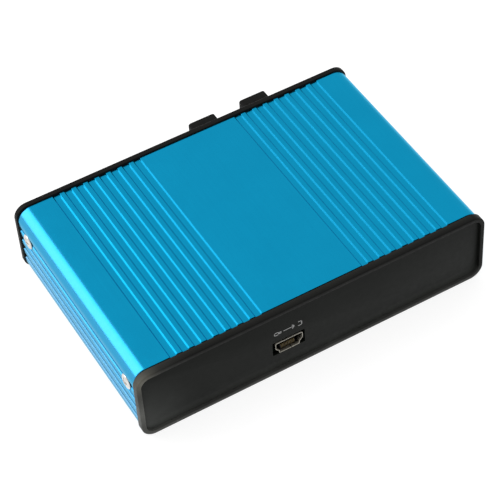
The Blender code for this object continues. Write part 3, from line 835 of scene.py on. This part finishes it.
def build_screws():
    """Countersunk screws with a domed head and a tapered cross recess."""
    profile = [
        (-6.2 * MM, 0),
        (-5.0 * MM, 0.80 * MM),
        (-1.35 * MM, 0.85 * MM),
        (-0.22 * MM, SCREW_HEAD - 0.05 * MM),
        (-0.10 * MM, SCREW_HEAD),
        (0.0, SCREW_HEAD - 0.02 * MM),
    ]
    rise, reach = 0.45 * MM, SCREW_HEAD - 0.05 * MM
    dome = [(rise * cos(radians(d)), reach * sin(radians(d))) for d in (80, 66, 52, 38, 25, 12)]
    pattern = piece("screw_pattern", lathe(profile + dome + [(rise, 0)], 40, "X"), SCREW)
    arms = []
    for turned in (False, True):
        corners = []
        for wide, narrow in ((0.45 * MM, 0.16 * MM), (1.35 * MM, 0.27 * MM)):
            if turned:
                wide, narrow = narrow, wide
            places = ((wide, -narrow), (wide, narrow), (-wide, narrow), (-wide, -narrow))
            corners.append([Vector(place) for place in places])
        tip, mouth = corners
        arms.append(skin([at_x(tip, -0.85 * MM), at_x(mouth, 0.30 * MM), at_x(mouth, MM)]))
    combined(pattern, arms)
    eased(pattern, 0.05 * MM, 50)
    for node in SCREW_NODES:
        low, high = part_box(node)
        hand = 1 if low.x > 0 else -1
        screw = bpy.data.objects.new(node + "_head", pattern.data.copy())
        bpy.context.scene.collection.objects.link(screw)
        face = tube_high.x if hand > 0 else tube_low.x
        spot = Vector((face, *middle(low, high)[1:]))
        turn = Matrix.Rotation(0 if hand > 0 else pi, 4, "Z") @ Matrix.Rotation(radians(22), 4, "X")
        screw.data.transform(Matrix.Translation(spot) @ turn)
        placed(screw, "screw_steel", node)
    bpy.data.objects.remove(pattern, do_unlink=True)


def usb_outline():
    """Mini USB: a narrow foot that widens to the full width above it."""
    half, foot, top = 3.95 * MM, 3.0 * MM, 2.0 * MM
    corners = [
        (foot, -top, 0.40 * MM, 4),
        (foot, -top + MM, 0.45 * MM, 4),
        (half, -0.1 * MM, 0.50 * MM, 4),
        (half, top, 0.55 * MM, 5),
    ]
    return mirrored(corners)


def build_usb():
    """Shell with a rounded mouth, seam and springs, a slotted tongue and five forked contacts."""
    low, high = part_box("usb_socket_shell")
    x, _, z = middle(low, high)
    centre = (x, z)
    mouth, back = low.y, high.y
    outline = usb_outline()
    lip = ((0.0, 0.10), (0.03, 0.03), (0.11, 0.0), (0.19, 0.03), (0.22, 0.10))
    rings = [at_y(outline, back, centre)]
    rings += [at_y(inset(outline, inward * MM), mouth + depth * MM, centre) for inward, depth in lip]
    rings.append(at_y(inset(outline, 0.22 * MM), back, centre))
    shell = piece("usb_shell", skin(rings, wrap=True), SHELL)
    seam_low = (x + 0.55 * MM, mouth - MM, z - 2.4 * MM)
    seam = block(seam_low, (x + 0.67 * MM, back - 1.5 * MM, z - 1.4 * MM))
    springs = [
        block_near((x, mouth, z), (left, 2.2, 1.4), (left + 0.25, 6.4, 2.4))
        for left in (-2.3, -1.05, 0.8, 2.05)
    ]
    combined(shell, [seam, *springs])
    placed(shell, "socket_steel", "usb_socket_shell")

    floor = z - 2.0 * MM + 0.6 * MM
    core = [point * 0.86 for point in outline]
    rings = [at_y(core, y, centre) for y in (mouth + 5.2 * MM, back - 0.4 * MM)]
    body = piece("usb_tongue", skin(rings), SOCKET)
    tongue = block_near((x, mouth, floor), (-2.15, 1.0, -0.15), (2.15, 5.6, 0.7), 0.08)
    slots = [
        block_near((x + a, mouth, floor), (-0.24, 0.8, 0.25), (0.24, 5.0, 1.5))
        for a in spaced(5, 0.8 * MM)
    ]
    combined(body, slots, [tongue])
    placed(body, "socket_moulding", "usb_socket_insulator")

    for number in range(1, 6):
        a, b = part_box(f"usb_contact_{number}")
        across = (a.x + b.x) / 2
        path = filleted(
            [
                (mouth + 4.8 * MM, a.z + 0.05 * MM, 0, 1),
                (mouth + 1.9 * MM, a.z + 0.10 * MM, 0.8 * MM, 3),
                (mouth + 1.12 * MM, a.z - 0.05 * MM, 0.35 * MM, 4),
                (mouth + 0.92 * MM, floor - 0.05 * MM, 0, 1),
            ],
            closed=False,
        )

        def place(side, out, up):
            return across + side, out, up

        contact = piece(f"usb_spring_contact_{number}", strip(path, 0.29 * MM, 0.14 * MM, place), SHADED_GOLD)
        fork = block(
            (across - 0.11 * MM, mouth + 0.5 * MM, floor - 0.5 * MM),
            (across + 0.11 * MM, mouth + 2.2 * MM, a.z + 0.6 * MM),
        )
        bridge = block_near((across, mouth, floor), (-0.29, 0.86, -0.12), (0.29, 1.0, 0.05))
        combined(contact, [fork])
        combined(contact, added=[bridge])
        placed(contact, "contact_gold", f"usb_contact_{number}")


def build_caps():
    """Soft square caps with rounded edges, a shallow dish in the end and a stem in the socket."""
    for body, node in (("input_cap", "dust_cap_input"), ("output_cap", "dust_cap_output")):
        low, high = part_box(node)
        x, _, z = middle(low, high)
        stem, size = 5.6 * MM, high.x - low.x
        tip, seat, end = low.y, low.y + 7.2 * MM, high.y
        rings = []
        for base, grown, radius, level, along in (
            (stem, -0.9, 0.5, tip, 0.0),
            (stem, -0.3, 0.7, tip, 0.25),
            (stem, 0.0, 0.8, tip, 0.8),
            (stem, 0.0, 0.8, seat, -0.15),
            (stem, 0.3, 0.9, seat, 0.0),
            (size, -0.4, 0.6, seat, 0.0),
            (size, -0.10, 0.62, seat, 0.10),
            (size, 0.0, 0.65, seat, 0.3),
            (size, 0.0, 0.65, end, -0.42),
            (size, -0.10, 0.64, end, -0.24),
            (size, -0.34, 0.62, end, -0.10),
            (size, -0.80, 0.60, end, -0.02),
            (size, -1.8, 0.60, end, 0.0),
            (size, -2.2, 0.60, end, -0.06),
            (size, -2.6, 0.60, end, -0.20),
            (size, -3.6, 0.60, end, -0.24),
        ):
            width = base + grown * MM
            rings.append(at_y(rounded_box(width, width, radius * MM, 8), level + along * MM, (x, z)))
        cap = piece(node + "_moulding", skin(rings), RUBBER, crease=50)
        placed(cap, "cap_rubber", node, body=body)


def build_jacks():
    """Jacks with a rounded barrel and a dished mouth, and a rolled metal ring in each mouth."""
    for number in range(1, 7):
        low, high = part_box(f"audio_jack_{number}")
        ring_low, ring_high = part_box(f"audio_jack_ring_{number}")
        x, _, z = middle(low, high)
        face = high.y
        body = block((low.x, low.y, low.z), (high.x, face - 1.45 * MM, high.z), 0.25 * MM)
        jack = piece(f"audio_jack_{number}_moulding", body, SOCKET)
        barrel = in_mm(face, (-2.5, 0), (-2.5, 3.3), (-0.30, 3.3), (-0.09, 3.21), (0, 3.0), (0, 0))
        dish = ((-13, 1.85), (-1.1, 1.85), (-1.1, 2.62), (-0.16, 2.62), (0.2, 2.95))
        dish = in_mm(face, (-13, 0), *dish, (0.2, 0))
        key = block(
            (low.x + 1.2 * MM, low.y - MM, high.z - 0.5 * MM),
            (high.x - 1.2 * MM, face - 4 * MM, high.z + MM),
        )
        cutters = [lathe(dish, 48, "Y", (x, 0, z)), key]
        combined(jack, cutters, [lathe(barrel, 48, "Y", (x, 0, z))])
        placed(jack, "socket_moulding", f"audio_jack_{number}")
        y0, y1 = ring_low.y, ring_high.y
        roll = ((-0.22, 1.84), (-0.05, 1.91), (0, 2.06), (0, 2.24), (-0.05, 2.38), (-0.20, 2.45))
        section = [*in_mm(y0, (0, 1.84)), *in_mm(y1, *roll), *in_mm(y0, (0, 2.45))]
        ring = washer(section, 48, x, z)
        ring_piece = piece(f"audio_jack_{number}_ring", ring, TIN)
        placed(ring_piece, "socket_steel", f"audio_jack_ring_{number}")


def build_optical_sockets():
    """Square-mouthed sockets with a bevelled, keyed mouth and a lens hole behind it."""
    for node in ("optical_input_socket", "optical_output_socket"):
        low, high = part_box(node)
        module = "optical_receiver_module" if "input" in node else "optical_transmitter_module"
        module_low, module_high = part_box(module)
        x, _, z = middle(module_low, module_high)
        face = high.y
        socket = piece(node + "_moulding", block(low, high, 0.3 * MM), SOCKET)
        half, keyed = 3.1 * MM, 1.9 * MM
        corners = [(half, -half, 0.3 * MM, 3), (half, keyed, 0.2 * MM, 3), (keyed, half, 0.2 * MM, 3)]
        mouth = mirrored(corners)
        depths = ((0, -8), (0, -0.3), (-0.35, 0.05), (-0.35, 1))
        flared = [at_y(inset(mouth, inward * MM), face + out * MM, (x, z)) for inward, out in depths]
        lens = in_mm(0, (-8.6, 0), (-8.6, 1.2), (-7, 1.2), (-7, 0))
        pocket_low = (module_low.x - 0.3 * MM, low.y - MM, module_low.z - 0.3 * MM)
        pocket_high = (module_high.x + 0.3 * MM, module_high.y + 0.3 * MM, module_high.z + 0.3 * MM)
        through = [(along - 2 * MM, radius) for along, radius in lens]
        cutters = [skin(flared), block(pocket_low, pocket_high)]
        for profile in (lens, through):
            cutters.append(lathe(profile, 28, "Y", (x, face, z)))
        combined(socket, cutters)
        placed(socket, "socket_moulding", node)
        shape = block(module_low, module_high, 0.3 * MM, 3)
        dome = in_mm(0, (1.0, 0), (0.9, 0.35), (0.7, 0.7), (0.35, 0.95), (-0.2, 1.0), (-0.2, 0))
        bead = lathe(dome, 24, "Y", (x, module_high.y - 0.15 * MM, z))
        placed(piece(module + "_lens", merged([shape, bead]), EPOXY), "clear_epoxy", module)


def leads(node, places, level, foot, length):
    """Gull-wing leads at (x, y, direction) places, as one piece of tinned metal."""
    path = [(-0.3 * MM, level, 0, 1), (0.35 * length, level, 0.12 * MM, 3)]
    path += [(0.55 * length, foot, 0.12 * MM, 3), (length, foot, 0, 1)]
    path = filleted(path, closed=False)
    half_width = 0.16 * MM if length < 1.2 * MM else 0.35 * MM
    made = []
    for x, y, (dx, dy) in places:

        def spot(side, out, up):
            return x + out * dx - side * dy, y + out * dy + side * dx, up

        made.append(strip(path, half_width, 0.13 * MM, spot))
    placed(piece(node + "_leads", merged(made), TIN), "socket_steel")


def build_chips():
    """Moulded packages with a bevelled waist, a dimple by the first pin and gull-wing leads."""
    for node, pitch, across, along, length in (
        ("audio_controller_chip", 0.8 * MM, 12, 12, 1.0 * MM),
        ("settings_memory_chip", 1.27 * MM, 3, 0, 1.0 * MM),
        ("voltage_regulator", 2.3 * MM, 0, 3, 1.3 * MM),
    ):
        low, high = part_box(node)
        trim_x = length if across else 0.0
        trim_y = length if along else 0.0
        bottom, top = low.z - 0.15 * MM, high.z
        waist = (bottom + top) / 2
        x, y, _ = middle(low, high)
        outline = rounded_box(high.x - low.x - 2 * trim_x, high.y - low.y - 2 * trim_y, 0.18 * MM, 3)
        levels = [(0.10, bottom), (0, waist - 0.06 * MM), (0, waist + 0.06 * MM)]
        levels += [(0.10, top - 0.04 * MM), (0.14, top)]
        rings = [at_z(inset(outline, inward * MM), z, (x, y)) for inward, z in levels]
        chip = piece(node + "_package", skin(rings), PACKAGE)
        corner = (low.x + trim_x + 0.9 * MM, low.y + trim_y + 0.9 * MM, top)
        dimple = in_mm(0, (-0.12, 0), (-0.12, 0.30), (0.1, 0.42), (0.1, 0))
        combined(chip, [lathe(dimple, 20, "Z", corner)])
        placed(chip, "chip_package", node)
        spots = []
        for offset in spaced(across, pitch):
            spots.append((high.x - trim_x, y + offset, (1, 0)))
            spots.append((low.x + trim_x, y + offset, (-1, 0)))
        for offset in spaced(along, pitch):
            spots.append((x + offset, low.y + trim_y, (0, -1)))
            if node != "voltage_regulator" or offset == 0:
                spots.append((x + offset, high.y - trim_y, (0, 1)))
        leads(node, spots, waist, low.z - 0.22 * MM, length)


def build_coils():
    """Wound parts: a square base and cap with a ribbed winding between them."""
    for node in ("usb_line_choke", "supply_inductor"):
        low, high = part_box(node)
        x, y, _ = middle(low, high)
        half = (high.x - low.x) / 2
        bottom, top = low.z - 0.2 * MM, high.z
        cap = 0.22 * (top - bottom)
        base = block((low.x, low.y, bottom), (high.x, high.y, bottom + cap), 0.15 * MM)
        lid = [(top - cap, 0), (top - cap, half - 0.15 * MM), (top - cap + 0.1 * MM, half - 0.05 * MM)]
        lid += [(top - 0.15 * MM, half - 0.05 * MM), (top - 0.04 * MM, half - 0.12 * MM)]
        lid += [(top, half - 0.3 * MM), (top, 0)]
        core = merged([base, lathe(lid, 36, "Z", (x, y, 0))])
        placed(piece(node + "_core", core, PACKAGE), "chip_package", node)
        turns = 7
        step = (top - bottom - 2 * cap) / turns
        wound = [(bottom + cap - 0.02 * MM, 0)]
        for turn in range(turns):
            start = bottom + cap + turn * step
            for part, lift in ((0.08, 0), (0.3, 0.1), (0.7, 0.1), (0.92, 0)):
                wound.append((start + step * part, half - (0.55 - lift) * MM))
        wound.append((top - cap + 0.02 * MM, 0))
        placed(piece(node + "_winding", lathe(wound, 36, "Z", (x, y, 0)), WIRE), "contact_gold")


def build_crystal():
    """Drawn can on a flange, with a softly rounded top."""
    low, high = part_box("clock_crystal")
    x, y, _ = middle(low, high)
    width, depth = high.x - low.x, high.y - low.y
    outline = rounded_box(width, depth, depth / 2 - 0.05 * MM, 12)
    bottom, top = low.z - 0.2 * MM, high.z
    steps = ((0.0, 0.0), (0.0, 0.30), (0.06, 0.38), (0.32, 0.42), (0.36, 0.50))
    rings = [at_z(inset(outline, inward * MM), bottom + up * MM, (x, y)) for inward, up in steps]
    for inward, down in ((0.36, 0.45), (0.42, 0.20), (0.58, 0.06), (0.85, 0.0)):
        rings.append(at_z(inset(outline, inward * MM), top - down * MM, (x, y)))
    placed(piece("clock_crystal_can", skin(rings), CAN), "crystal_can", "clock_crystal")


def build_capacitors():
    """Electrolytic cans: a rolled groove over the foot, a shrunk sleeve, and a bare scored top."""
    names = [f"output_capacitor_{number}" for number in range(1, 9)] + ["supply_capacitor"]
    for node in names:
        low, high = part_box(node)
        x, y, _ = middle(low, high)
        radius = (high.x - low.x) / 2
        bottom, top = low.z - 0.2 * MM, high.z
        foot = ((0, 0.25), (0.1, 0.05), (0.7, 0), (1.0, 0.2), (1.3, 0))
        crown = ((0.45, 0), (0.15, 0.12), (0, 0.42), (0, 0.62), (0.10, 0.72))
        profile = [(bottom, 0)]
        profile += [(bottom + up * MM, radius - inward * MM) for up, inward in foot]
        profile += [(top - down * MM, radius - inward * MM) for down, inward in crown]
        profile.append((top - 0.10 * MM, 0))
        can = piece(node + "_can", lathe(profile, 40, "Z", (x, y, 0)), SLEEVE)
        floor = top - 0.18 * MM
        scores = []
        for wide, deep in ((0.62 * radius, 0.09 * MM), (0.09 * MM, 0.62 * radius)):
            scores.append(block((x - wide, y - deep, floor), (x + wide, y + deep, top)))
        combined(can, scores)
        can.data.materials.append(CAN)
        for face in can.data.polygons:
            away = (Vector(face.center[:2]) - Vector((x, y))).length
            if face.center.z > top - 0.3 * MM and away < radius - 0.66 * MM:
                face.material_index = 1
        placed(can, "capacitor_sleeve", node)


build_tube()
build_frame("front_rim", "front_end_frame", True)
build_frame("rear_rim", "rear_end_frame", False)
build_plate("front_plate", "front_panel_plate", True)
build_plate("rear_plate", "rear_panel_plate", False)
build_print()
build_screws()
build_usb()
build_caps()
build_jacks()
build_optical_sockets()
build_chips()
build_coils()
build_crystal()
build_capacitors()

# The board keeps its solid and takes a finer material
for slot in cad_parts["circuit_board"].material_slots:
    slot.material = BOARD

# ------------------------------------------------------------
# Stage, light and camera
# ------------------------------------------------------------


FLOOR_GLOW = 0.74  # lifts the floor to the photo's white
SKY_STRENGTH = 0.905
KEY_LEAN = radians(40)  # from overhead toward the left
KEY_DISTANCE = 0.70
KEY_HALF_ANGLE = radians(40.5)
KEY_SPAN = (0.28, 1.0)
KEY_RADIANCE = 2.3

# Camera solved from the box's straight edges and grooves in the photo
AZIMUTH, ELEVATION, ROLL = radians(-27.081), radians(47.618), radians(-4.269)
CAMERA_DISTANCE = 510.2 * MM
AIM = Vector((MIDDLE_X + 0.134 * MM, FRONT + 33.7 * MM, 7.63 * MM))
SENSOR_MM, LENS_MM = 36, 141.54


def build_floor():
    floor = piece("floor", block((-3, -3, -0.02), (3, 3, -0.00002)), None)
    made = Surface("pale_floor", Roughness=0.9, Specular_IOR_Level=0.1)
    made.colour(made.blend(made.noise(0.4, 2.0), (0.36, 0.36, 0.36), (0.40, 0.40, 0.40)))
    made.shader.inputs["Emission Color"].default_value = (1, 1, 1, 1)
    made.shader.inputs["Emission Strength"].default_value = FLOOR_GLOW
    floor.data.materials.append(made.material)


def build_world():
    world = bpy.data.worlds.new("studio")
    bpy.context.scene.world = world
    world.use_nodes = True
    background = world.node_tree.nodes["Background"]
    background.inputs["Color"].default_value = (1, 1, 1, 1)
    background.inputs["Strength"].default_value = SKY_STRENGTH


def softbox(name, lean, distance, reach, span, radiance):
    """Area light over the left top corner, level along y.

    lean turns it from overhead toward -X, reach is its half width as an angle seen from the
    corner, span is the stretch of y it covers and radiance is the brightness of its face.
    """
    away = Vector((-sin(lean), 0, cos(lean)))
    along = Vector((0, 1, 0))
    across = along.cross(away)
    data = bpy.data.lights.new(name, "AREA")
    data.shape = "RECTANGLE"
    data.size = 2 * distance * tan(reach)
    data.size_y = span[1] - span[0]
    data.energy = radiance * pi * data.size * data.size_y
    made = bpy.data.objects.new(name, data)
    bpy.context.scene.collection.objects.link(made)
    spot = Vector((tube_low.x, 0, tube_high.z)) + away * distance + along * (span[0] + span[1]) / 2
    made.matrix_world = Matrix.Translation(spot) @ Matrix((across, along, away)).transposed().to_4x4()


def build_camera():
    level = cos(ELEVATION)
    back = Vector((sin(AZIMUTH) * level, -cos(AZIMUTH) * level, sin(ELEVATION)))
    right = Vector((0, 0, 1)).cross(back).normalized()
    up = back.cross(right)
    tilted_right = right * cos(ROLL) + up * sin(ROLL)
    tilted_up = up * cos(ROLL) - right * sin(ROLL)
    data = bpy.data.cameras.new("camera")
    data.sensor_width = SENSOR_MM
    data.lens = LENS_MM
    data.clip_start, data.clip_end = 0.01, 20
    camera = bpy.data.objects.new("camera", data)
    bpy.context.scene.collection.objects.link(camera)
    turned = Matrix((tilted_right, tilted_up, back)).transposed().to_4x4()
    camera.matrix_world = Matrix.Translation(AIM + back * CAMERA_DISTANCE) @ turned
    bpy.context.scene.camera = camera


build_floor()
build_world()
softbox("key_light", KEY_LEAN, KEY_DISTANCE, KEY_HALF_ANGLE, KEY_SPAN, KEY_RADIANCE)
build_camera()

view = bpy.context.scene.view_settings
view.view_transform = "Standard"
view.look = "None"
